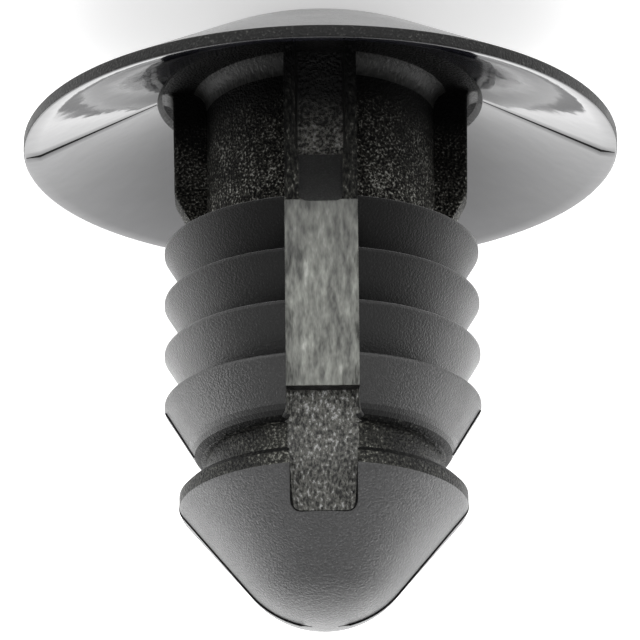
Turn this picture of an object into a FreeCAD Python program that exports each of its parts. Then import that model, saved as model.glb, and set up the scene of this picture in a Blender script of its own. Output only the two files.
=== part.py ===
import FreeCAD, Part
import math
import os

# A push-in panel retainer, moulded in one piece: a domed head that is hollow underneath,
# a neck with four fins, four hooked ribs and a blunt nose with a groove behind it.
# It stands on its head with the nose up. Sizes are in millimetres and degrees.
# Heights of the shank are measured up from the rim plane, where the head meets a panel.

Vector = FreeCAD.Vector

# Head
head_r = 10.0
crown_r = 10.43
flank_angle = 28.85
rim_edge = 0.43
lip_width = 0.55
lip_angle = 13.0
under_angle = 24.6
plateau_r = 5.75
plateau_depth = 2.1
gate_r = 1.3
gate_floor_r = 1.05
gate_depth = 0.25

# Core of the shank
core_r = 3.86
core_fillet = 0.7

# Fins: four round the neck, and two of them run on down between the ribs
fin_r = 4.96
fin_width = 2.4
side_fin_width = 1.2
fin_draft = 0.8
fin_flare = 0.55
fin_length = 3.7
fin_end_angle = 29.0
fin_end_round = 0.6
fin_edge_round = 0.12
fin_bury = 0.3

# Ribs
rib_count = 4
rib_r = 5.26
rib_land = 0.12
rib_pitch = 1.82
rib_angle = 31.2
neck_length = 3.5
tail_root_r = 4.16
tail_round = 0.35

# Channel and window in the front and back fins
channel_width = 1.5
channel_floor = 3.95
channel_lip_round = 0.3
window_width = 1.44
window_height = 2.14
window_past_ledge = 0.1
window_round = 0.25

# Band and tongue between the cut ends of the ribs
band_end_r = 4.35
tongue_offset = 3.73
tongue_fillet = 0.3
tongue_drop = 0.82

# Nose
groove_width = 1.07
nose_edge_r = 4.57
nose_r = 4.77
nose_land = 0.7
nose_round = 0.5
nose_angle = 39.5
tip_r = 3.1
nose_slot_width = 2.2
nose_slot_round = 0.35


def tan(angle):
    return math.tan(math.radians(angle))


def sin(angle):
    return math.sin(math.radians(angle))


def cos(angle):
    return math.cos(math.radians(angle))


# Heights that follow from the sizes above
lip_rise = lip_width * tan(lip_angle)
flank_start_r = crown_r * sin(flank_angle)
crown_height = crown_r * (1 - cos(flank_angle)) + (head_r - flank_start_r) * tan(flank_angle) + rim_edge
crown_centre = crown_r - crown_height
base = crown_centre - math.sqrt(crown_r ** 2 - gate_r ** 2)
under_top = lip_rise + (head_r - lip_width - plateau_r) * tan(under_angle)
crests = [neck_length + rib_pitch * i for i in range(rib_count)]
rib_root_r = rib_r - (rib_pitch - rib_land) * tan(rib_angle)
tail_end = crests[-1] + rib_land + (rib_r - tail_root_r) / tan(rib_angle)
window_end = neck_length + window_past_ledge
window_start = window_end - window_height
tongue_start = crests[-1] + tongue_drop
nose_start = tail_end + groove_width
cone_start = nose_start + nose_land
tip_centre = cone_start + nose_r / tan(nose_angle) - tip_r / sin(nose_angle)
slot_end = cone_start + (nose_r - tongue_offset) / tan(nose_angle)
outside = head_r + crown_r
touching = 1e-6


def rounded_edges(corners):
    """Edges along a list of (point, radius), with a tangent arc at each corner that has a radius."""
    edges = []
    start = corners[0][0]
    for (before, _), (corner, radius), (after, _) in zip(corners, corners[1:], corners[2:]):
        if radius == 0:
            edges.append(Part.LineSegment(start, corner).toShape())
            start = corner
            continue
        back = (before - corner).normalize()
        ahead = (after - corner).normalize()
        half = back.getAngle(ahead) / 2
        middle = (back + ahead).normalize()
        first = corner + back * (radius / math.tan(half))
        last = corner + ahead * (radius / math.tan(half))
        through = corner + middle * (radius / math.sin(half) - radius)
        edges.append(Part.LineSegment(start, first).toShape())
        edges.append(Part.Arc(first, through, last).toShape())
        start = last
    edges.append(Part.LineSegment(start, corners[-1][0]).toShape())
    return edges


def plate(edges, direction):
    """Solid made by pushing a closed outline along a direction."""
    return Part.Face(Part.Wire(edges)).extrude(direction)


def side_view(r, height):
    return Vector(r, 0, height)


def plan_view(x, y):
    return Vector(x, y, 0)


def head_corners():
    step_r = plateau_r - (plateau_depth - under_top)
    return [
        (side_view(flank_start_r, crown_centre - crown_r * cos(flank_angle)), 0),
        (side_view(head_r, -rim_edge), 0),
        (side_view(head_r, 0), 0),
        (side_view(head_r - lip_width, -lip_rise), 0),
        (side_view(plateau_r, -under_top), 0),
        (side_view(step_r, -plateau_depth), 0),
        (side_view(core_r, -plateau_depth), core_fillet),
    ]


def rib_corners():
    corners = [(side_view(core_r, neck_length), 0)]
    for crest in crests:
        corners.append((side_view(rib_r, crest), 0))
        corners.append((side_view(rib_r, crest + rib_land), 0))
        corners.append((side_view(rib_root_r, crest + rib_pitch), 0))
    corners[-1] = (side_view(tail_root_r, tail_end), tail_round)
    corners.append((side_view(core_r, tail_end), 0))
    return corners


def nose_corners():
    shoulder = nose_start + (nose_r - nose_edge_r)
    return [
        (side_view(core_r, nose_start), 0),
        (side_view(nose_edge_r, nose_start), 0),
        (side_view(nose_r, shoulder), 0),
        (side_view(nose_r, cone_start), nose_round),
        (side_view(tip_r * cos(nose_angle), tip_centre + tip_r * sin(nose_angle)), 0),
    ]


def turned_body():
    """Head, core, ribs and nose as one turned form."""
    crown_half = math.degrees(math.asin(gate_r / crown_r))
    crown_mid = (crown_half + flank_angle) / 2
    tip_mid = (90 + nose_angle) / 2
    crown_start = side_view(gate_r, base)
    crown_through = side_view(crown_r * sin(crown_mid), crown_centre - crown_r * cos(crown_mid))
    corners = head_corners() + rib_corners() + nose_corners()
    tip_through = side_view(tip_r * cos(tip_mid), tip_centre + tip_r * sin(tip_mid))
    tip = side_view(0, tip_centre + tip_r)
    gate_floor = base + gate_depth
    edges = [Part.Arc(crown_start, crown_through, corners[0][0]).toShape()]
    edges += rounded_edges(corners)
    edges.append(Part.Arc(corners[-1][0], tip_through, tip).toShape())
    edges.append(Part.LineSegment(tip, side_view(0, gate_floor)).toShape())
    edges.append(Part.LineSegment(side_view(0, gate_floor), side_view(gate_floor_r, gate_floor)).toShape())
    edges.append(Part.LineSegment(side_view(gate_floor_r, gate_floor), crown_start).toShape())
    outline = Part.Face(Part.Wire(edges))
    return outline.revolve(Vector(0, 0, 0), Vector(0, 0, 1), 360)


def fin_outer(height):
    return fin_r - (height + plateau_depth) * tan(fin_draft)


def fin_root():
    """Top of a fin's outline, buried in the head, with the flare that runs out under it."""
    flare_top = side_view(fin_r + fin_flare, -plateau_depth)
    flare_low = side_view(fin_outer(fin_flare - plateau_depth), fin_flare - plateau_depth)
    hollow = side_view(fin_r + fin_flare * (1 - cos(45)), -plateau_depth + fin_flare * (1 - cos(45)))
    buried = -plateau_depth - fin_bury
    edges = [
        Part.LineSegment(side_view(0, buried), side_view(fin_r + fin_flare, buried)).toShape(),
        Part.LineSegment(side_view(fin_r + fin_flare, buried), flare_top).toShape(),
        Part.Arc(flare_top, hollow, flare_low).toShape(),
    ]
    return edges, side_view(0, buried), flare_low


def fin(corners, width):
    """Fin along +X from the corners of its outline below the flare."""
    edges, inner, start = fin_root()
    edges += rounded_edges([(start, 0)] + corners + [(inner, 0)])
    solid = plate(edges, Vector(0, width, 0))
    solid.translate(Vector(0, -width / 2, 0))
    return solid


def beside_outer_face(edge):
    """True for the edges beside a fin's outer face, from the flare down to the core."""
    ends = [vertex.Point for vertex in edge.Vertexes]
    lengthwise = abs(ends[0].y - ends[-1].y) < touching
    below_flare = min(end.z for end in ends) > touching - plateau_depth
    outside_core = min(end.x for end in ends) > core_r - fin_bury - touching
    return lengthwise and below_flare and outside_core


def side_fin():
    """Short fin that slopes back into the core above the first rib, with its outer edges rounded."""
    low = fin_length - plateau_depth
    inside = core_r - fin_bury
    end = low + (fin_outer(low) - inside) / tan(fin_end_angle)
    corners = [
        (side_view(fin_outer(low), low), fin_end_round),
        (side_view(inside, end), 0),
        (side_view(0, end), 0),
    ]
    solid = fin(corners, side_fin_width)
    return solid.makeFillet(fin_edge_round, [edge for edge in solid.Edges if beside_outer_face(edge)])


def front_fin():
    """Long fin: rails beside the window, then a band that tapers towards the tongue."""
    corners = [
        (side_view(fin_outer(window_end), window_end), 0),
        (side_view(band_end_r, tongue_start), 0),
        (side_view(0, tongue_start), 0),
    ]
    return fin(corners, fin_width)


def rib_gap():
    """Gap between the cut ends of the ribs along +Y, with a flat floor and hollow corners."""
    half = fin_width / 2
    corners = [
        (plan_view(-half, outside), 0),
        (plan_view(-half, tongue_offset), tongue_fillet),
        (plan_view(half, tongue_offset), tongue_fillet),
        (plan_view(half, outside), 0),
    ]
    edges = rounded_edges(corners)
    edges.append(Part.LineSegment(corners[-1][0], corners[0][0]).toShape())
    gap = plate(edges, Vector(0, 0, nose_start - neck_length))
    gap.translate(Vector(0, 0, neck_length))
    return gap


def slot_block(width, start, end, end_round, floor):
    """Block along +Y from a floor plane outwards, with rounded corners at its end nearer the tip."""
    half = width / 2
    corners = [
        (side_view(0, start), 0),
        (side_view(half, start), 0),
        (side_view(half, end), end_round),
        (side_view(-half, end), end_round),
        (side_view(-half, start), 0),
        (side_view(0, start), 0),
    ]
    block = plate(rounded_edges(corners), Vector(0, outside, 0))
    block.translate(Vector(0, floor, 0))
    return block


def nose_slot():
    """Flat that carries the tongue on over the groove and out through the nose."""
    return slot_block(nose_slot_width, tail_end, slot_end, nose_slot_round, tongue_offset)


def channel():
    """Channel between the rails, from under the head to the window."""
    half = channel_width / 2
    top = -plateau_depth
    reach = plateau_r - channel_floor
    corners = [
        (Vector(-half, plateau_r, top), 0),
        (Vector(-half, channel_floor, top), 0),
        (Vector(-half, channel_floor, window_start), channel_lip_round),
        (Vector(-half, channel_floor - reach, window_start), 0),
        (Vector(-half, channel_floor - reach, window_start + channel_lip_round), 0),
        (Vector(-half, plateau_r, window_start + channel_lip_round), 0),
        (Vector(-half, plateau_r, top), 0),
    ]
    return plate(rounded_edges(corners), Vector(channel_width, 0, 0))


def window():
    """Window through the shank from front to back."""
    return slot_block(window_width, window_start, window_end, window_round, -outside / 2)


def both_ways(solid):
    """A solid and its copy turned half a turn about the shank."""
    other = solid.copy()
    other.rotate(Vector(0, 0, 0), Vector(0, 0, 1), 180)
    return [solid, other]


def turned_quarter(solid):
    solid.rotate(Vector(0, 0, 0), Vector(0, 0, 1), 90)
    return solid


def retainer():
    body = turned_body()
    body = body.cut(both_ways(rib_gap()))
    body = body.fuse(both_ways(side_fin()) + both_ways(turned_quarter(front_fin())))
    body = body.cut(both_ways(nose_slot()) + both_ways(channel()) + [window()])
    body = body.removeSplitter()
    body.translate(Vector(0, 0, -base))
    return body.Solids[0] if len(body.Solids) == 1 else body


def main():
    os.makedirs("parts", exist_ok=True)
    clip = retainer()
    box = clip.BoundBox
    print("solids", len(clip.Solids), "valid", clip.isValid(), "volume", round(clip.Volume, 2))
    print("size", round(box.XLength, 3), round(box.YLength, 3), round(box.ZLength, 3), "low", round(box.ZMin, 4))
    clip.exportStep("parts/retainer_clip.step")


main()
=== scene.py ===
import bpy
import math
from mathutils import Matrix, Vector


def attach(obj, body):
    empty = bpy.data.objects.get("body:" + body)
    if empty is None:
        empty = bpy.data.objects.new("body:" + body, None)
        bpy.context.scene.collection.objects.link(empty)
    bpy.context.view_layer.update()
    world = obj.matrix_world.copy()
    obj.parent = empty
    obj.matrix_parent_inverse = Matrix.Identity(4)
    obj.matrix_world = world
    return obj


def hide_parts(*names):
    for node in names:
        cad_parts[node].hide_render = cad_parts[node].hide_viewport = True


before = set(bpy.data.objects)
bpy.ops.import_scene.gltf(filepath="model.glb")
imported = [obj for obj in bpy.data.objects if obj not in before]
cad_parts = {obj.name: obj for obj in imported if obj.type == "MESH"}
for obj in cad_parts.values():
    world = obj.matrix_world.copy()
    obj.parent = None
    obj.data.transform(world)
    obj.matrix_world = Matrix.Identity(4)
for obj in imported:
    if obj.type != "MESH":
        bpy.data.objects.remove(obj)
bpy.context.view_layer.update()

mm = 0.001  # the clip is modelled at 1 unit to the millimetre, then brought to metres


def tan(angle):
    return math.tan(math.radians(angle))


def sin(angle):
    return math.sin(math.radians(angle))


def cos(angle):
    return math.cos(math.radians(angle))


print("stage: camera")

cameraView = {
    "elevation": 20.89,     # degrees above the bench, looking down on the standing clip
    "distance": 200.0,      # mm
    "aimHeight": 10.292,    # mm above the bench
    "aimSide": 0.073,       # mm
    "roll": 179.43,         # degrees, the photograph holds the clip with its head up
    "lens": 337.4,          # mm
    "sensor": 36,           # mm
    "nearest": 0.005,       # m
    "farthest": 20,         # m
}


def makeCamera(look):
    camera = bpy.data.objects.new("photoCamera", bpy.data.cameras.new("photoCamera"))
    bpy.context.scene.collection.objects.link(camera)
    aim = Vector((look["aimSide"], 0, look["aimHeight"])) * mm
    back = Vector((0, -cos(look["elevation"]), sin(look["elevation"])))
    turned = Matrix.Rotation(math.radians(look["roll"]), 4, "Z")
    facing = (-back).to_track_quat("-Z", "Y").to_matrix().to_4x4()
    camera.matrix_world = Matrix.Translation(aim + back * look["distance"] * mm) @ facing @ turned
    camera.data.lens = look["lens"]
    camera.data.sensor_width = look["sensor"]
    camera.data.clip_start = look["nearest"]
    camera.data.clip_end = look["farthest"]
    bpy.context.scene.camera = camera


makeCamera(cameraView)

print("stage: clip")

# lengths are in mm and angles in degrees
clip = {
    "around": 144,          # meridians of the turned form, a multiple of 4
    "roundSteps": 4,        # faces across a small round
    "crownSteps": 10,
    "tipSteps": 12,
    "rimHeight": 4.38,      # from the bench to the rim's flat edge
    "headR": 10.0,
    "crownR": 10.43,        # of the sphere that the crown is part of
    "flankAngle": 28.85,    # of the cone that carries the crown on to the rim
    "rimEdge": 0.43,
    "rimRound": 0.07,
    "lipWidth": 0.55,
    "lipAngle": 13.0,
    "underAngle": 24.6,
    "plateauR": 5.5,
    "plateauDepth": 2.1,    # from the rim's flat edge down to the foot of the neck
    "gateR": 1.3,
    "gateFloorR": 1.05,
    "gateDepth": 0.25,
    "coreR": 3.86,
    "coreFillet": 0.7,
    "ribR": 5.26,
    "ribLand": 0.12,
    "ribCount": 4,
    "ribPitch": 1.82,
    "ribAngle": 31.2,
    "ribRound": 0.05,
    "ribEndRound": 0.45,    # on the cut ends of the last rib, beside the groove
    "neckLength": 3.5,
    "tailRootR": 4.16,
    "tailRound": 0.35,
    "shadeRing": 0.16,       # width of each ring above the groove, in which painted shade darkens the last rib step by step
    "shadeRings": 3,
    "grooveWidth": 1.07,
    "noseEdgeR": 4.57,
    "noseR": 4.77,
    "noseLand": 0.7,
    "noseRound": 0.5,
    "noseAngle": 39.5,
    "tipR": 3.1,
    "tipEndAngle": 176,     # from straight down, the last ring before the tip is closed
    "finR": 4.96,
    "finWidth": 2.4,
    "sideFinWidth": 1.2,
    "finDraft": 0.8,
    "finFlare": 0.3,
    "flareAngles": (0, 22, 45, 68, 90),
    "finLength": 3.7,
    "finEndAngle": 29.0,
    "finEndRound": 0.6,
    "finRound": 0.12,
    "finRoundSteps": 3,
    "finBury": 0.3,         # how far a fin is sunk into the head and the core
    "channelWidth": 1.5,
    "channelFloor": 3.95,
    "channelRound": 0.3,
    "channelLean": 0.11,    # share of the half width per mm outwards
    "channelOverrun": 0.03,
    "windowWidth": 1.44,
    "windowHeight": 2.14,
    "windowPastLedge": 0.1,
    "windowRound": 0.25,
    "bandProud": 0.03,      # the flat band between the ribs above the rails of the channel
    "bandOverlap": 0.05,
    "bandEndR": 4.2,
    "tongueOffset": 3.73,
    "tongueFillet": 0.3,
    "tongueDrop": 0.82,
    "slotWidth": 2.2,
    "slotRound": 0.35,
    "landRound": 0.17,      # where the slot's mouth cuts the land of the nose
    "slotDip": 0.22,
    "slotFloorRound": 0.09,
    "slotFloorSteps": 2,
    "seamWidth": 0.06,      # the step where the two slides of the mould met
    "seamStep": 0.06,
    "flashWidth": 0.06,     # the ridge where the two halves of the mould met
    "flashProud": 0.05,
    "flashStart": 0.3,      # from the groove to where the nose's ridge starts
    "flashSunk": 0.03,
    "flashEndAngle": 165,   # from straight down, so that the ridge stays below the tip
    "flashPastLand": 0.1,
    "weld": 0.002,          # corners closer than this become one
    "smoothAngle": 32,
}
touching = 1e-4  # mm, how exactly a corner lies on a flat
nearby = 1e-3    # mm, the same on turned forms, whose corners are less exact
roughly = 0.02   # mm, the same for slopes


def roundedOutline(corners, steps):
    # corners are (x, y, radius), and each radius becomes an arc of that many faces
    points = [Vector(corners[0][:2])]
    for before, corner, after in zip(corners, corners[1:], corners[2:]):
        place = Vector(corner[:2])
        if corner[2] == 0:
            points.append(place)
            continue
        back = (Vector(before[:2]) - place).normalized()
        ahead = (Vector(after[:2]) - place).normalized()
        half = back.angle(ahead) / 2
        centre = place + (back + ahead).normalized() * (corner[2] / math.sin(half))
        first = place + back * (corner[2] / math.tan(half)) - centre
        swing = first.angle_signed(place + ahead * (corner[2] / math.tan(half)) - centre)
        for step in range(steps + 1):
            points.append(centre + Matrix.Rotation(-swing * step / steps, 2) @ first)
    points.append(Vector(corners[-1][:2]))
    return points


def arcPoints(radius, centreHeight, startAngle, endAngle, steps):
    # points of an arc about the shank's axis, angles in degrees from straight down
    angles = [startAngle + (endAngle - startAngle) * step / steps for step in range(steps + 1)]
    return [Vector((radius * sin(a), centreHeight - radius * cos(a))) for a in angles]


def clipHeights(c):
    # heights in mm above the bench
    h = {"rim": c["rimHeight"]}
    crownRise = c["crownR"] * (1 - cos(c["flankAngle"]))
    h["crownCentre"] = h["rim"] + c["crownR"] - crownRise - c["rimEdge"]
    h["crownCentre"] -= (c["headR"] - c["crownR"] * sin(c["flankAngle"])) * tan(c["flankAngle"])
    h["lip"] = h["rim"] - c["lipWidth"] * tan(c["lipAngle"])
    h["under"] = h["lip"] - (c["headR"] - c["lipWidth"] - c["plateauR"]) * tan(c["underAngle"])
    h["plateau"] = h["rim"] - c["plateauDepth"]
    h["ledge"] = h["rim"] + c["neckLength"]
    h["lastCrest"] = h["ledge"] + c["ribPitch"] * (c["ribCount"] - 1)
    h["tail"] = h["lastCrest"] + c["ribLand"] + (c["ribR"] - c["tailRootR"]) / tan(c["ribAngle"])
    h["tongue"] = h["lastCrest"] + c["tongueDrop"]
    h["nose"] = h["tail"] + c["grooveWidth"]
    h["cone"] = h["nose"] + c["noseLand"]
    h["tipCentre"] = h["cone"] + c["noseR"] / tan(c["noseAngle"]) - c["tipR"] / sin(c["noseAngle"])
    h["slotEnd"] = h["cone"] + (c["noseR"] - c["tongueOffset"]) / tan(c["noseAngle"])
    h["windowEnd"] = h["ledge"] + c["windowPastLedge"]
    h["windowStart"] = h["windowEnd"] - c["windowHeight"]
    return h


def turnedOutline(c, h):
    # (radius, height) from the gate's floor up to the tip
    gateHalf = math.degrees(math.asin(c["gateR"] / c["crownR"]))
    points = [Vector((c["gateFloorR"], c["gateDepth"]))]
    points += arcPoints(c["crownR"], h["crownCentre"], gateHalf, c["flankAngle"], c["crownSteps"])
    stepR = c["plateauR"] - (h["under"] - h["plateau"])
    corners = [
        (*points[-1], 0),
        (c["headR"], h["rim"] - c["rimEdge"], c["rimRound"]),
        (c["headR"], h["rim"], c["rimRound"]),
        (c["headR"] - c["lipWidth"], h["lip"], 0),
        (c["plateauR"], h["under"], 0),
        (stepR, h["plateau"], 0),
        (c["coreR"], h["plateau"], c["coreFillet"]),
        (c["coreR"], h["ledge"], 0),
    ]
    rootR = c["ribR"] - (c["ribPitch"] - c["ribLand"]) * tan(c["ribAngle"])
    for rib in range(c["ribCount"]):
        crest = h["ledge"] + c["ribPitch"] * rib
        corners.append((c["ribR"], crest, c["ribRound"]))
        corners.append((c["ribR"], crest + c["ribLand"], c["ribRound"]))
        if rib < c["ribCount"] - 1:
            corners.append((rootR, crest + c["ribPitch"], 0))
    for ring in range(c["shadeRings"], 1, -1):
        rise = ring * c["shadeRing"]
        corners.append((c["tailRootR"] + rise * tan(c["ribAngle"]), h["tail"] - rise, 0))
    corners += [
        (c["tailRootR"], h["tail"], c["tailRound"]),
        (c["coreR"], h["tail"], 0),
        (c["coreR"], h["nose"], 0),
        (c["noseEdgeR"], h["nose"], 0),
        (c["noseR"], h["nose"] + c["noseR"] - c["noseEdgeR"], 0),
        (c["noseR"], h["cone"], c["noseRound"]),
    ]
    tip = arcPoints(c["tipR"], h["tipCentre"], 90 + c["noseAngle"], c["tipEndAngle"], c["tipSteps"])
    corners.append((*tip[0], 0))
    return points[:-1] + roundedOutline(corners, c["roundSteps"]) + tip[1:]


def deselectAll():
    for thing in bpy.context.selected_objects:
        thing.select_set(False)


def makeActive(piece):
    deselectAll()
    piece.select_set(True)
    bpy.context.view_layer.objects.active = piece


def pick(form, kind, wanted):
    # corners, edges or faces are picked by their place, and edit mode is left open on them
    makeActive(form)
    bpy.ops.object.mode_set(mode="EDIT")
    bpy.ops.mesh.select_mode(type=kind)
    bpy.ops.mesh.select_all(action="DESELECT")
    bpy.ops.object.mode_set(mode="OBJECT")
    mesh = form.data
    for part in {"VERT": mesh.vertices, "EDGE": mesh.edges, "FACE": mesh.polygons}[kind]:
        part.select = wanted(part)
    bpy.ops.object.mode_set(mode="EDIT")


def bevelEdges(form, wanted, width, steps):
    # the test is given the places of an edge's two ends
    pick(form, "EDGE", lambda edge: wanted(*(form.data.vertices[i].co for i in edge.vertices)))
    bpy.ops.mesh.bevel(offset=width, segments=steps, affect="EDGES")
    bpy.ops.object.mode_set(mode="OBJECT")


def turnedForm(name, outline, around):
    # a circle at the first ring, extruded and scaled ring by ring, as a turned profile is built by hand
    deselectAll()
    bpy.ops.mesh.primitive_circle_add(
        vertices=around, radius=outline[0].x, fill_type="NGON", location=(0, 0, outline[0].y))
    form = bpy.context.object
    form.name = name
    bpy.ops.object.transform_apply(location=True, rotation=True, scale=True)
    bpy.ops.object.mode_set(mode="EDIT")
    bpy.ops.mesh.select_all(action="SELECT")
    bpy.ops.mesh.flip_normals()
    bpy.ops.mesh.select_mode(type="EDGE")
    bpy.ops.mesh.select_all(action="SELECT")
    for before, after in zip(outline, outline[1:]):
        bpy.ops.mesh.extrude_edges_move(
            TRANSFORM_OT_translate={"value": (0, 0, after.y - before.y)})
        bpy.ops.transform.resize(
            value=(after.x / before.x, after.x / before.x, 1), center_override=(0, 0, after.y))
    bpy.ops.mesh.edge_face_add()
    bpy.ops.mesh.select_all(action="SELECT")
    bpy.ops.mesh.normals_make_consistent(inside=False)
    bpy.ops.object.mode_set(mode="OBJECT")
    return form


def pushedForm(name, outline, place, sideways, upwards, push):
    # a circle's points are set out along the outline, filled and extruded
    deselectAll()
    bpy.ops.mesh.primitive_circle_add(vertices=len(outline), radius=1, fill_type="NGON")
    form = bpy.context.object
    form.name = name
    for vertex, point in zip(form.data.vertices, outline):
        vertex.co = Vector(place) + Vector(sideways) * point.x + Vector(upwards) * point.y
    bpy.ops.object.mode_set(mode="EDIT")
    bpy.ops.mesh.select_all(action="SELECT")
    bpy.ops.mesh.extrude_region_move(TRANSFORM_OT_translate={"value": push})
    bpy.ops.mesh.select_all(action="SELECT")
    bpy.ops.mesh.normals_make_consistent(inside=False)
    bpy.ops.object.mode_set(mode="OBJECT")
    return form


def sidePlate(name, outline, width):
    # an outline of (x, z), as thick as its width from front to back
    return pushedForm(name, outline, (0, -width / 2, 0), (1, 0, 0), (0, 0, 1), (0, width, 0))


def frontPlate(name, outline, width):
    # an outline of (y, z), as thick as its width from left to right
    return pushedForm(name, outline, (-width / 2, 0, 0), (0, 1, 0), (0, 0, 1), (width, 0, 0))


def joinShape(piece, tool, how):
    makeActive(piece)
    cut = piece.modifiers.new(tool.name, "BOOLEAN")
    cut.operation = how
    cut.solver = "EXACT"
    cut.object = tool
    bpy.ops.object.modifier_apply(modifier=cut.name)
    bpy.data.objects.remove(tool)


def joinBothWays(piece, tool, how):
    # a tool and its copy turned half a turn about the shank
    makeActive(tool)
    bpy.ops.object.duplicate()
    twin = bpy.context.object
    bpy.ops.object.mode_set(mode="EDIT")
    bpy.ops.mesh.select_all(action="SELECT")
    bpy.ops.transform.rotate(value=math.pi, orient_axis="Z", center_override=(0, 0, 0))
    bpy.ops.object.mode_set(mode="OBJECT")
    joinShape(piece, twin, how)
    joinShape(piece, tool, how)


def finOutline(c, h, lowPoints):
    # from the middle of the head outwards, down the flare, then along the fin
    low, flare = h["plateau"], c["finFlare"]
    deep = low - c["finBury"]
    hollow = [
        Vector((c["finR"] + flare * (1 - sin(a)), low + flare * (1 - cos(a)))) for a in c["flareAngles"]]
    return [Vector((0, deep)), Vector((c["finR"] + flare, deep))] + hollow + lowPoints


def finFace(c, h, height):
    return c["finR"] - (height - h["plateau"]) * tan(c["finDraft"])


def sideFin(c, h):
    low = h["plateau"] + c["finLength"]
    higher = low - c["finEndRound"]
    inside = c["coreR"] - c["finBury"]
    end = low + (finFace(c, h, low) - inside) / tan(c["finEndAngle"])
    corners = [
        (finFace(c, h, higher), higher, 0),
        (finFace(c, h, low), low, c["finEndRound"]),
        (inside, end, 0),
    ]
    lowPoints = roundedOutline(corners, c["roundSteps"])[1:] + [Vector((0, end))]
    form = sidePlate("sideFin", finOutline(c, h, lowPoints), c["sideFinWidth"])

    def longOuterEdge(a, b):
        return abs(a.y - b.y) < touching and min(a.x, b.x) > inside and abs(a.z - b.z) > roughly

    bevelEdges(form, longOuterEdge, c["finRound"], c["finRoundSteps"])
    return form


def frontFin(c, h):
    end = h["windowEnd"]
    outline = finOutline(c, h, [Vector((finFace(c, h, end), end)), Vector((0, end))])
    return frontPlate("frontFin", outline, c["finWidth"])


def flatBand(c, h):
    # the fin runs on between the ribs, from the window to the ledge above the tongue
    start, end = h["windowEnd"] - c["bandOverlap"], h["tongue"]
    top = finFace(c, h, start) + c["bandProud"]
    outline = [Vector(point) for point in ((0, start), (top, start), (c["bandEndR"], end), (0, end))]
    return frontPlate("flatBand", outline, c["finWidth"])


def ribGap(c, h):
    half = c["finWidth"] / 2
    reach = c["headR"] * 2
    corners = [
        (-half, reach, 0),
        (-half, c["tongueOffset"], c["tongueFillet"]),
        (half, c["tongueOffset"], c["tongueFillet"]),
        (half, reach, 0),
    ]
    outline = roundedOutline(corners, c["roundSteps"])
    straight = h["tail"] - c["ribEndRound"] - h["ledge"]
    form = pushedForm("ribGap", outline, (0, 0, h["ledge"]), (1, 0, 0), (0, 1, 0), (0, 0, straight))
    # towards the groove the gap flares, which rounds off the cut ends of the last rib
    pick(form, "FACE", lambda face: face.normal.z > 0.9)
    swings = [90 * step / c["roundSteps"] for step in range(c["roundSteps"] + 1)]
    for before, after in zip(swings, swings[1:]):
        bpy.ops.mesh.extrude_region_move(
            TRANSFORM_OT_translate={"value": (0, 0, c["ribEndRound"] * (sin(after) - sin(before)))})
        wider = (half + c["ribEndRound"] * (1 - cos(after))) / (half + c["ribEndRound"] * (1 - cos(before)))
        bpy.ops.transform.resize(value=(wider, 1, 1), center_override=(0, 0, 0))
    bpy.ops.mesh.extrude_region_move(TRANSFORM_OT_translate={"value": (0, 0, h["nose"] - h["tail"])})
    bpy.ops.object.mode_set(mode="OBJECT")
    return form


def window(c, h):
    half = c["windowWidth"] / 2
    low, high, turn = h["windowStart"], h["windowEnd"], c["windowRound"]
    corners = [(0, low, 0), (half, low, 0), (half, high, turn), (-half, high, turn), (-half, low, 0)]
    return sidePlate("window", roundedOutline(corners, c["roundSteps"]), c["headR"] * 2)


def noseSlot(c, h):
    # the mouth of the slot is rounded where it cuts the land of the nose
    half, mouth = c["slotWidth"] / 2, c["slotWidth"] / 2 + 2 * c["landRound"]
    low, land, end = h["tail"], h["nose"], h["slotEnd"]
    rightSide = [
        (mouth, low, 0), (mouth, land, 0), (half, land, c["landRound"]), (half, end, c["slotRound"])]
    corners = [(0, low, 0)] + rightSide + [(-x, z, turn) for x, z, turn in reversed(rightSide)]
    outline = roundedOutline(corners, c["roundSteps"])
    floor = c["tongueOffset"]
    form = pushedForm("noseSlot", outline, (0, floor, 0), (1, 0, 0), (0, 0, 1), (0, c["headR"] * 2, 0))
    # its floor dips towards the tip, so that the slot ends in a low wall
    for vertex in form.data.vertices:
        if vertex.co.y < floor + touching:
            vertex.co.y -= c["slotDip"] * max(0, vertex.co.z - land) / (end - land)

    # and rises to its walls through a small round
    def floorEdge(a, b):
        return max(a.y, b.y) < floor + touching and min(a.z, b.z) > land + c["landRound"] - nearby

    bevelEdges(form, floorEdge, c["slotFloorRound"], c["slotFloorSteps"])
    return form


def channel(c, h):
    out = c["finR"] + c["finFlare"] + c["channelOverrun"]
    deep = 2 * c["channelFloor"] - out
    high = h["windowStart"] + c["channelRound"]
    corners = [
        (out, h["plateau"], 0),
        (c["channelFloor"], h["plateau"], 0),
        (c["channelFloor"], h["windowStart"], c["channelRound"]),
        (deep, h["windowStart"], 0),
        (deep, high, 0),
        (out, high, 0),
    ]
    form = frontPlate("channel", roundedOutline(corners, c["roundSteps"]), c["channelWidth"])
    # the walls lean outwards, so that they show as thin lines beside the rails
    for vertex in form.data.vertices:
        vertex.co.x *= 1 + c["channelLean"] * (vertex.co.y - c["channelFloor"])
    return form


def flashPlate(c, name, side):
    # a thin plate in the plane where the mould's halves met, which leaves a fine ridge on both sides
    outline = [Vector(point) for point in side] + [Vector((-point[0], point[1])) for point in reversed(side)]
    return sidePlate(name, outline, c["flashWidth"])


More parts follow.
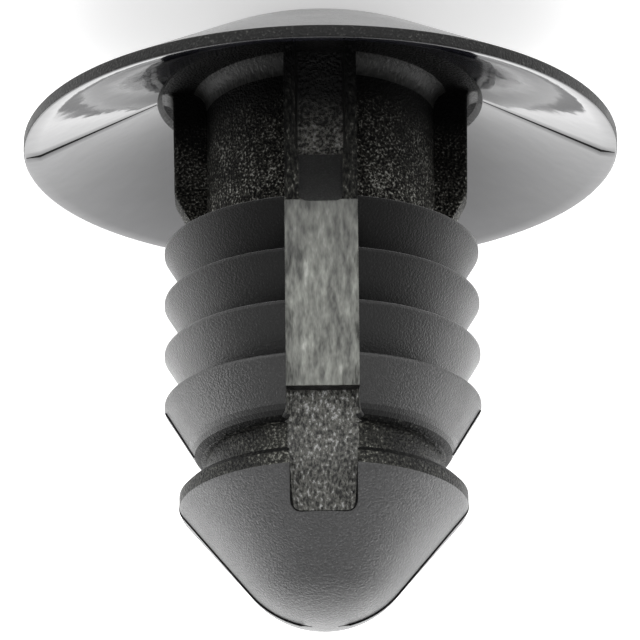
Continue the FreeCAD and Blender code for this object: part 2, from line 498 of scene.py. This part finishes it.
def noseFlash(c, h):
    # it starts inside the nose and rises out of it
    start, out = h["nose"] + c["flashStart"], c["noseR"] + c["flashProud"]
    tip = arcPoints(
        c["tipR"] + c["flashProud"], h["tipCentre"], 90 + c["noseAngle"], c["flashEndAngle"], c["tipSteps"])
    corners = [
        (0, start, 0),
        (c["noseR"] - c["flashSunk"], start, 0),
        (out, h["cone"], c["noseRound"]),
        (*tip[0], 0),
    ]
    return flashPlate(c, "noseFlash", roundedOutline(corners, c["roundSteps"])[1:] + tip[1:])


def ribFlash(c, h):
    land = h["lastCrest"] + c["ribLand"]
    ends = (land + c["flashPastLand"], h["tail"] - c["shadeRing"])
    side = [(c["ribR"] + c["flashProud"] - (end - land) * tan(c["ribAngle"]), end) for end in ends]
    return flashPlate(c, "ribFlash", side)


def seamStep(form, c, h):
    # the far half of the head's underside stands a little proud of the near half
    def onSeam(p):
        return abs(p.y) < touching and abs(p.x) > c["plateauR"] - nearby and p.z > h["under"] - nearby

    bevelEdges(form, lambda a, b: onSeam(a) and onSeam(b), c["seamWidth"] / 2, 1)

    def onFarHalf(corner):
        p = corner.co
        radius = math.hypot(p.x, p.y)
        inward = p.z > h["rim"] - c["rimRound"] - nearby or radius < c["headR"] - c["rimRound"]
        cone = h["lip"] - (c["headR"] - c["lipWidth"] - radius) * tan(c["underAngle"])
        onUnderside = radius > c["plateauR"] + nearby and p.z > h["under"] and p.z > cone - roughly
        return p.y > c["seamWidth"] / 4 and onUnderside and inward

    pick(form, "VERT", onFarHalf)
    bpy.ops.transform.translate(value=(0, 0, c["seamStep"]))
    bpy.ops.object.mode_set(mode="OBJECT")


def buildClip(c, h):
    body = turnedForm("retainerClip", turnedOutline(c, h), c["around"])
    print("turned form", len(body.data.polygons), "faces")
    seamStep(body, c, h)
    joinBothWays(body, ribGap(c, h), "DIFFERENCE")
    for shape in (sideFin, frontFin, flatBand):
        joinBothWays(body, shape(c, h), "UNION")
    print("fins", len(body.data.polygons), "faces")
    for shape in (noseSlot, channel):
        joinBothWays(body, shape(c, h), "DIFFERENCE")
    joinShape(body, window(c, h), "DIFFERENCE")
    for shape in (noseFlash, ribFlash):
        joinShape(body, shape(c, h), "UNION")
    print("cut", len(body.data.polygons), "faces")
    makeActive(body)
    bpy.ops.object.mode_set(mode="EDIT")
    bpy.ops.mesh.select_all(action="SELECT")
    bpy.ops.mesh.remove_doubles(threshold=c["weld"])
    bpy.ops.transform.resize(value=(mm, mm, mm), center_override=(0, 0, 0))
    bpy.ops.object.mode_set(mode="OBJECT")
    bpy.ops.object.shade_smooth_by_angle(angle=math.radians(c["smoothAngle"]))
    return body


print("stage: finishes")

# One black nylon moulding, and each face of the mould left its own finish on it. grain and cloud are
# the sizes of the finish's points and patches in mm, and stretch draws them out along the shank.
# patchy is how far the patches shift the grain towards the light, and beside how far it is shifted
# next to the tongue. tones are the dark ground, the light grain and the brightest specks, and steps
# the levels of the grain at which each is reached. rough is the range of roughness, depth the height
# of the grain in mm. Painted shade under the head: a finish that has it turns from black to its tones
# between two heights in mm above the bench, black where the head shades it.
plainNylon = {
    "grain": 0.07, "cloud": 0.9, "stretch": 1, "patchy": 0, "steps": (0.40, 0.62, 0.74), "sheen": 0,
}
finishes = {
    # spark-eroded crown, frosted, so that it pales where the light grazes it
    "frostedCrownNylon": {
        "cloud": 1.6, "tones": ("#0d0d0e", "#1b1b1d", "#323235"), "steps": (0.38, 0.60, 0.74),
        "rough": (0.10, 0.16), "depth": 0.01, "specular": 0.8, "sheen": 0.2},
    # rim, sheared clean at the mould's edge, darker than the faces beside it
    "trimmedRimNylon": {
        "grain": 0.08, "cloud": 1.0, "patchy": 0.2, "tones": ("#030303", "#1d1d1d", "#52524f"),
        "steps": (0.42, 0.62, 0.74), "rough": (0.40, 0.50), "depth": 0.04, "specular": 0.25},
    # polished slide faces under the head, which mirror the neck and the white paper
    "polishedUndersideNylon": {
        "grain": 2.0, "cloud": 2.4, "tones": ("#101014", "#14141a", "#18181d"),
        "steps": (0.40, 0.60, 0.80), "rough": (0.05, 0.11), "depth": 0.02, "specular": 0.66},
    # the other slide's half, a little duller
    "hazedUndersideNylon": {
        "grain": 2.0, "cloud": 2.4, "tones": ("#101015", "#14141a", "#18181e"),
        "steps": (0.40, 0.60, 0.80), "rough": (0.08, 0.15), "depth": 0.02, "specular": 0.43},
    # flash where the mould's slides met, a dull dark line
    "partingLineNylon": {
        "grain": 0.10, "cloud": 0.6, "tones": ("#010101", "#060606", "#292929"),
        "steps": (0.40, 0.62, 0.72), "rough": (0.60, 0.70), "depth": 0.02, "specular": 0.1},
    # coarse spark erosion in the deep pockets of the neck, dull, with painted glints as its bright points and
    # painted shade that turns it black towards the head
    "sparkNeckNylon": {
        "grain": 0.085, "patchy": 0.25, "tones": ("#000000", "#4b4a45", "#c5c5be"),
        "steps": (0.43, 0.58, 0.71), "rough": (0.50, 0.64), "depth": 0.12, "specular": 0.06,
        "headShade": (3.4, 7.6)},
    # drawn fillet at the foot of the neck, smoother and paler than the erosion on both sides
    "drawnFilletNylon": {
        "grain": 0.10, "cloud": 0.5, "stretch": 0.3, "patchy": 0.2, "tones": ("#0a0a09", "#1d1d1c", "#343431"),
        "steps": (0.38, 0.62, 0.74), "rough": (0.42, 0.52), "depth": 0.04, "specular": 0.26},
    # rails of the channel, drawn along the shank, with painted shade that turns them black towards the head
    "drawnRailNylon": {
        "grain": 0.10, "cloud": 0.5, "stretch": 0.5, "patchy": 0.3, "tones": ("#040404", "#383834", "#80807a"),
        "steps": (0.41, 0.60, 0.72), "rough": (0.46, 0.60), "depth": 0.10, "specular": 0.12,
        "headShade": (3.4, 8.0)},
    # floor of the channel, eroded more coarsely than its rails; painted light in its tones, paler than the
    # rails', lifts the shade it lies in, and painted shade turns it black near the plateau
    "sparkChannelNylon": {
        "grain": 0.10, "cloud": 0.5, "patchy": 0.3, "tones": ("#1d1d1b", "#92918b", "#bcbcbc"),
        "steps": (0.41, 0.61, 0.72), "rough": (0.40, 0.54), "depth": 0.14, "specular": 0.4,
        "headShade": (3.8, 5.9)},
    # machined faces inside the window, even and matt; their mid-grey tones are painted light that lifts the
    # shade inside
    "windowNylon": {
        "grain": 0.06, "cloud": 0.8, "stretch": 0.5, "tones": ("#595958", "#6a6a69", "#7a7a79"),
        "steps": (0.40, 0.60, 0.70), "rough": (0.60, 0.70), "depth": 0.01, "specular": 0.2},
    # satin ribs, darker and less glossy rib by rib towards the head: painted shade from the head, in their
    # base colour and gloss
    "satinFirstRibNylon": {
        "patchy": 0.15, "tones": ("#020202", "#090909", "#171717"),
        "rough": (0.34, 0.44), "depth": 0.03, "specular": 0.06, "sheen": 0.45},
    "satinSecondRibNylon": {
        "patchy": 0.15, "tones": ("#040404", "#0b0b0b", "#1c1c1c"),
        "rough": (0.32, 0.42), "depth": 0.03, "specular": 0.15, "sheen": 0.45},
    "satinThirdRibNylon": {
        "patchy": 0.15, "tones": ("#060606", "#111111", "#252525"),
        "rough": (0.30, 0.40), "depth": 0.03, "specular": 0.30, "sheen": 0.45},
    "satinLastRibNylon": {
        "patchy": 0.15, "tones": ("#0b0b0b", "#1f1f1f", "#383838"),
        "rough": (0.30, 0.40), "depth": 0.04, "specular": 0.64},
    # flat between the ribs, the palest part of the clip: painted light in its pale tones, and painted shade
    # that turns it black towards the head
    "scuffedBandNylon": {
        "grain": 0.20, "stretch": 0.3, "patchy": 0.6, "tones": ("#454642", "#9a9c95", "#c6c7c1"),
        "steps": (0.30, 0.64, 0.80), "rough": (0.34, 0.50), "depth": 0.10, "specular": 0.6,
        "headShade": (4.5, 11.0)},
    # eroded flat of the tongue and the slot, with painted glints: pale grain and specks in its tones
    "sparkTongueNylon": {
        "grain": 0.09, "cloud": 0.8, "stretch": 0.6, "patchy": 0.2, "tones": ("#0e0e0c", "#75756f", "#c4c4c4"),
        "steps": (0.37, 0.59, 0.70), "rough": (0.34, 0.48), "depth": 0.16, "specular": 0.6},
    # painted shade on edges, dark and dull: the slot's walls, both edges of the groove and the last rib's
    # lowest ring
    "dullCutNylon": {
        "grain": 0.10, "cloud": 0.6, "tones": ("#020202", "#171716", "#585853"),
        "steps": (0.42, 0.62, 0.74), "rough": (0.50, 0.60), "depth": 0.06, "specular": 0.12},
    # groove and land behind the nose, fine erosion that brightens beside the tongue
    "sparkLandNylon": {
        "grain": 0.09, "cloud": 0.7, "patchy": 0.3, "beside": 0.11, "tones": ("#020202", "#3c3c38", "#94948c"),
        "steps": (0.43, 0.66, 0.80), "rough": (0.38, 0.50), "depth": 0.10, "specular": 0.14},
    # satin nose, finer than the ribs
    "satinNoseNylon": {
        "patchy": 0.1, "tones": ("#161617", "#343435", "#4f4f50"),
        "steps": (0.38, 0.62, 0.75), "rough": (0.34, 0.42), "depth": 0.04, "specular": 0.78},
}
nylon = {
    "ior": 1.53,
    "sheenRoughness": 0.5,
    "grainDetail": 2.5,
    "grainRoughness": 0.6,
    "cloudDetail": 2,
    "cloudRange": (0.3, 0.7),
    "besideRange": (1.5, 2.6),   # mm from the middle, where the finish beside the tongue fades out
    # the black of the painted shade under the head
    "headShadeHex": "#030303",
    "edgeWear": 0.05,            # mm, the radius to which every edge is worn
    "wearSamples": 4,
}
# mm, how far the zones of the finishes reach past the places that they are set out from
zone = {
    "slack": 0.01,          # a face this close to a zone's limit still lies in it
    "rimSkin": 0.05,        # inwards from the rim
    "overRim": 0.2,         # the underside, above the rim's flat edge
    "underPlateau": 0.5,    # the crown, below the plateau
    "flashSkin": 0.003,
    "flashInnerR": 0.5,
    "windowInside": 0.31,   # inwards from the channel's floor
    "railOutside": 0.1,     # outwards from the channel's floor
    "coreSkin": 0.02,
    "plateauEdge": 0.35,
    "wallFoot": 0.3,        # the channel's leaning walls, above the plateau
    "cutEdge": 0.1,         # inwards from a fin's or the gap's sides
    "slotAside": 0.5,
    "slotMouth": 0.21,
    "slotSkin": 0.03,
    "landEnd": 0.08,
    "grooveEdge": 0.3,      # outwards from the core
    "grooveLip": 0.2,       # above the groove
}
slack = zone["slack"]


def headFinish(place, facing, radius, c, h):
    onRim = radius > c["headR"] - zone["rimSkin"] and abs(facing.z) < 0.9
    if onRim:
        return "trimmedRimNylon"
    insideCrown = place.z < h["plateau"] - zone["underPlateau"]
    facesBench = facing.z < -0.3 and place.z < h["rim"]
    if insideCrown or facesBench:
        return "frostedCrownNylon"
    if place.z > h["rim"] + zone["overRim"] or radius < c["plateauR"] - slack:
        return None
    if abs(place.y) < c["seamWidth"] / 2 + slack and abs(facing.y) > 0.3:
        return "partingLineNylon"
    return "hazedUndersideNylon" if place.y > 0 else "polishedUndersideNylon"


def flashFinish(place, facing, radius, c, h):
    onPlate = abs(place.y) < c["flashWidth"] / 2 + zone["flashSkin"] and radius > zone["flashInnerR"]
    onRib = h["lastCrest"] + c["ribLand"] < place.z < h["tail"] - slack
    onNose = place.z > h["nose"] + c["flashStart"] - slack
    square = abs(facing.y) < 0.01 or abs(facing.y) > 0.99
    return "partingLineNylon" if onPlate and (onRib or onNose) and square else None


def flatFinish(place, facing, radius, c, h):
    across, depth, half = abs(place.x), abs(place.y), c["finWidth"] / 2
    inWindow = across < c["windowWidth"] / 2 + slack and depth < c["channelFloor"] - zone["windowInside"]
    if inWindow and h["windowStart"] - slack < place.z < h["windowEnd"] + slack:
        return "windowNylon"
    onFlat = abs(facing.x) < 0.05 and abs(facing.z) < 0.2 and across < half
    if onFlat and place.z < h["windowEnd"]:
        onRail = depth > c["channelFloor"] + zone["railOutside"]
        return "drawnRailNylon" if onRail else "sparkChannelNylon"
    if onFlat and place.z < h["tongue"]:
        return "scuffedBandNylon"
    inGap = across < half + slack and depth < c["tongueOffset"] + c["tongueFillet"] - slack
    onFillet = inGap and h["tongue"] < place.z < h["nose"] and abs(facing.z) < 0.2
    return "sparkTongueNylon" if onFlat or onFillet else None


def neckFinish(place, facing, radius, c, h):
    across, half = abs(place.x), c["finWidth"] / 2
    atFoot = place.z < h["plateau"] + c["coreFillet"] + slack and radius > c["coreR"] + zone["coreSkin"]
    if atFoot and across > half:
        onPlateau = facing.z > 0.98 and radius < c["plateauR"] - zone["plateauEdge"]
        return "sparkNeckNylon" if onPlateau or facing.z < 0.15 else "drawnFilletNylon"
    if place.z > h["ledge"] - slack:
        return None
    onLeaningWall = across < half - zone["cutEdge"] and 0.6 < abs(facing.x) < 0.999
    if onLeaningWall and place.z > h["plateau"] + zone["wallFoot"]:
        return "drawnFilletNylon"
    inChannel = across < c["channelWidth"] / 2 and abs(facing.x) < 0.3
    return "sparkChannelNylon" if inChannel else "sparkNeckNylon"


def tailFinish(place, facing, radius, c, h):
    noseSurface = c["noseR"] - max(0, place.z - h["cone"]) * tan(c["noseAngle"])
    inNose = radius < noseSurface - zone["slotSkin"]
    besideSlot = abs(place.x) < c["slotWidth"] / 2 + zone["slotAside"]
    if inNose and besideSlot and h["nose"] + zone["slotMouth"] < place.z < h["slotEnd"] + slack:
        return "dullCutNylon"
    if h["tail"] - slack < place.z < h["cone"] - zone["landEnd"]:
        onEdge = radius > c["coreR"] + zone["grooveEdge"] and place.z < h["nose"] + zone["grooveLip"]
        return "dullCutNylon" if onEdge else "sparkLandNylon"
    if place.z > h["tail"]:
        return "satinNoseNylon"
    # painted shade: the last rib darkens ring by ring towards the groove
    ring = int((h["tail"] - place.z) / c["shadeRing"])
    if ring < c["shadeRings"] and abs(place.x) > c["finWidth"] / 2 - zone["cutEdge"]:
        return ["dullCutNylon", "satinSecondRibNylon", "satinThirdRibNylon"][ring]
    return None


def ribFinish(place, facing, radius, c, h):
    names = ["satinFirstRibNylon", "satinSecondRibNylon", "satinThirdRibNylon", "satinLastRibNylon"]
    return names[min(3, max(0, int((place.z - h["ledge"]) / c["ribPitch"])))]


def finishAt(place, facing, c, h):
    # the first zone that a face lies in names its finish
    radius = math.hypot(place.x, place.y)
    for nameFinish in (headFinish, flashFinish, flatFinish, neckFinish, tailFinish, ribFinish):
        name = nameFinish(place, facing, radius, c, h)
        if name:
            return name


def linearColour(hexColour):
    parts = [int(hexColour[i:i + 2], 16) / 255 for i in (1, 3, 5)]
    return [p / 12.92 if p <= 0.04045 else ((p + 0.055) / 1.055) ** 2.4 for p in parts] + [1]


def addNode(owner, kind, settings=None, links=None):
    # settings and links go by a socket's name, or by its number where several share a name
    node = owner.node_tree.nodes.new(kind)
    for name, value in (settings or {}).items():
        if isinstance(name, int) or name in node.inputs:
            node.inputs[name].default_value = value
        else:
            setattr(node, name, value)
    for name, socket in (links or {}).items():
        owner.node_tree.links.new(socket, node.inputs[name])
    return node


def startNodes(owner):
    owner.use_nodes = True
    owner.node_tree.nodes.clear()


def blackNylon(name, look):
    material = bpy.data.materials.new(name)
    startNodes(material)
    place = addNode(material, "ShaderNodeTexCoord")
    drawn = addNode(material, "ShaderNodeMapping", {"Scale": (1, 1, look["stretch"])}, {
        "Vector": place.outputs["Object"]})
    grain = addNode(material, "ShaderNodeTexNoise", {
        "Scale": 1 / (look["grain"] * mm), "Detail": nylon["grainDetail"],
        "Roughness": nylon["grainRoughness"]}, {"Vector": drawn.outputs["Vector"]})
    cloud = addNode(material, "ShaderNodeTexNoise", {
        "Scale": 1 / (look["cloud"] * mm), "Detail": nylon["cloudDetail"]}, {
        "Vector": drawn.outputs["Vector"]})
    polish = addNode(material, "ShaderNodeMapRange", {
        "From Min": nylon["cloudRange"][0], "From Max": nylon["cloudRange"][1],
        "To Min": look["rough"][0], "To Max": look["rough"][1]}, {"Value": cloud.outputs["Fac"]})
    shift = addNode(material, "ShaderNodeMath", {
        "operation": "MULTIPLY_ADD", 1: look["patchy"], 2: -look["patchy"] / 2}, {0: cloud.outputs["Fac"]})
    level = addNode(material, "ShaderNodeMath", {"operation": "ADD"}, {
        0: grain.outputs["Fac"], 1: shift.outputs["Value"]})
    if "beside" in look:
        across = addNode(material, "ShaderNodeSeparateXYZ", links={"Vector": place.outputs["Object"]})
        aside = addNode(material, "ShaderNodeMath", {"operation": "ABSOLUTE"}, {0: across.outputs["X"]})
        nearTongue = addNode(material, "ShaderNodeMapRange", {
            "From Min": nylon["besideRange"][0] * mm, "From Max": nylon["besideRange"][1] * mm,
            "To Min": look["beside"], "To Max": 0}, {"Value": aside.outputs["Value"]})
        level = addNode(material, "ShaderNodeMath", {"operation": "ADD"}, {
            0: level.outputs["Value"], 1: nearTongue.outputs["Result"]})
    tint = addNode(material, "ShaderNodeValToRGB", links={"Fac": level.outputs["Value"]})
    ramp = tint.color_ramp.elements
    ramp.new(look["steps"][2])
    for stop, step, tone in zip(ramp, look["steps"], look["tones"]):
        stop.position = step
        stop.color = linearColour(tone)
    colour = tint.outputs["Color"]
    # painted shade: the finish turns black towards the head, where the head shades it
    if "headShade" in look:
        along = addNode(material, "ShaderNodeSeparateXYZ", links={"Vector": place.outputs["Object"]})
        headShade = addNode(material, "ShaderNodeMapRange", {
            "From Min": look["headShade"][0] * mm, "From Max": look["headShade"][1] * mm}, {
            "Value": along.outputs["Z"]})
        headShaded = addNode(material, "ShaderNodeMixRGB", {"Color1": linearColour(nylon["headShadeHex"])}, {
            "Fac": headShade.outputs["Result"], "Color2": colour})
        colour = headShaded.outputs["Color"]
    worn = addNode(material, "ShaderNodeBevel", {
        "Radius": nylon["edgeWear"] * mm, "samples": nylon["wearSamples"]})
    bump = addNode(material, "ShaderNodeBump", {"Strength": 1, "Distance": look["depth"] * mm}, {
        "Height": grain.outputs["Fac"], "Normal": worn.outputs["Normal"]})
    skin = addNode(material, "ShaderNodeBsdfPrincipled", {
        "IOR": nylon["ior"], "Specular IOR Level": look["specular"], "Sheen Weight": look["sheen"],
        "Sheen Roughness": nylon["sheenRoughness"]}, {
        "Base Color": colour, "Roughness": polish.outputs["Result"], "Normal": bump.outputs["Normal"]})
    addNode(material, "ShaderNodeOutputMaterial", links={"Surface": skin.outputs["BSDF"]})
    return material


heights = clipHeights(clip)
retainerClip = buildClip(clip, heights)
for name, look in finishes.items():
    retainerClip.data.materials.append(blackNylon(name, {**plainNylon, **look}))
for face in retainerClip.data.polygons:
    face.material_index = list(finishes).index(finishAt(face.center / mm, face.normal, clip, heights))
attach(retainerClip, "root")
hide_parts("retainer_clip")

print("stage: studio")

studio = {
    "floorHex": "#e6e6e6",
    "floorSize": 6,         # m
    "floorLift": 0.5,       # how much paler the paper is to the camera and in reflections
    "world": 0.85,
    "lamps": {              # degrees and metres, and radiance is how bright a lamp's face is
        "rear": {"azimuth": 180, "elevation": 42, "away": 0.25, "wide": 0.40, "tall": 0.36, "radiance": 2.6},
        "left": {"azimuth": -118, "elevation": 12, "away": 0.25, "wide": 0.20, "tall": 0.14, "radiance": 3.0},
        "right": {"azimuth": 118, "elevation": 12, "away": 0.25, "wide": 0.20, "tall": 0.14, "radiance": 3.0},
    },
}


def seenDirectly(owner):
    # 1 for what the camera sees and what a gloss mirrors, 0 for the light that falls on things
    rays = addNode(owner, "ShaderNodeLightPath")
    seen = addNode(owner, "ShaderNodeMath", {"operation": "MAXIMUM"}, {
        0: rays.outputs["Is Camera Ray"], 1: rays.outputs["Is Glossy Ray"]})
    return seen.outputs["Value"]


def makeFloor(look):
    deselectAll()
    bpy.ops.mesh.primitive_plane_add(size=look["floorSize"])
    floor = bpy.context.object
    floor.name = "studioFloor"
    paper = bpy.data.materials.new("whitePaper")
    startNodes(paper)
    lift = addNode(paper, "ShaderNodeMath", {"operation": "MULTIPLY", 1: look["floorLift"]}, {
        0: seenDirectly(paper)})
    sheet = addNode(paper, "ShaderNodeBsdfDiffuse", {"Color": linearColour(look["floorHex"])})
    glow = addNode(paper, "ShaderNodeEmission", links={"Strength": lift.outputs["Value"]})
    both = addNode(paper, "ShaderNodeAddShader", links={0: sheet.outputs["BSDF"], 1: glow.outputs["Emission"]})
    addNode(paper, "ShaderNodeOutputMaterial", links={"Surface": both.outputs["Shader"]})
    floor.data.materials.append(paper)


def makeWorld(look):
    world = bpy.data.worlds.new("studioWorld")
    bpy.context.scene.world = world
    startNodes(world)
    strength = addNode(world, "ShaderNodeMapRange", {"To Min": look["world"], "To Max": 1}, {
        "Value": seenDirectly(world)})
    glow = addNode(world, "ShaderNodeBackground", links={"Strength": strength.outputs["Result"]})
    addNode(world, "ShaderNodeOutputWorld", links={"Surface": glow.outputs["Background"]})


def makeLamp(name, look):
    data = bpy.data.lights.new(name, "AREA")
    data.shape = "RECTANGLE"
    data.size = look["wide"]
    data.size_y = look["tall"]
    data.energy = math.pi * look["radiance"] * look["wide"] * look["tall"]
    lamp = bpy.data.objects.new(name, data)
    bpy.context.scene.collection.objects.link(lamp)
    aim = Vector((0, 0, cameraView["aimHeight"] * mm))
    flat = Vector((sin(look["azimuth"]), -cos(look["azimuth"]), 0)) * cos(look["elevation"])
    side = flat + Vector((0, 0, sin(look["elevation"])))
    lamp.location = aim + side * look["away"]
    lamp.rotation_euler = (-side).to_track_quat("-Z", "Y").to_euler()


makeFloor(studio)
makeWorld(studio)
for name, look in studio["lamps"].items():
    makeLamp(name + "Softbox", look)
bpy.context.scene.view_settings.view_transform = "Standard"

print("stage: finished")
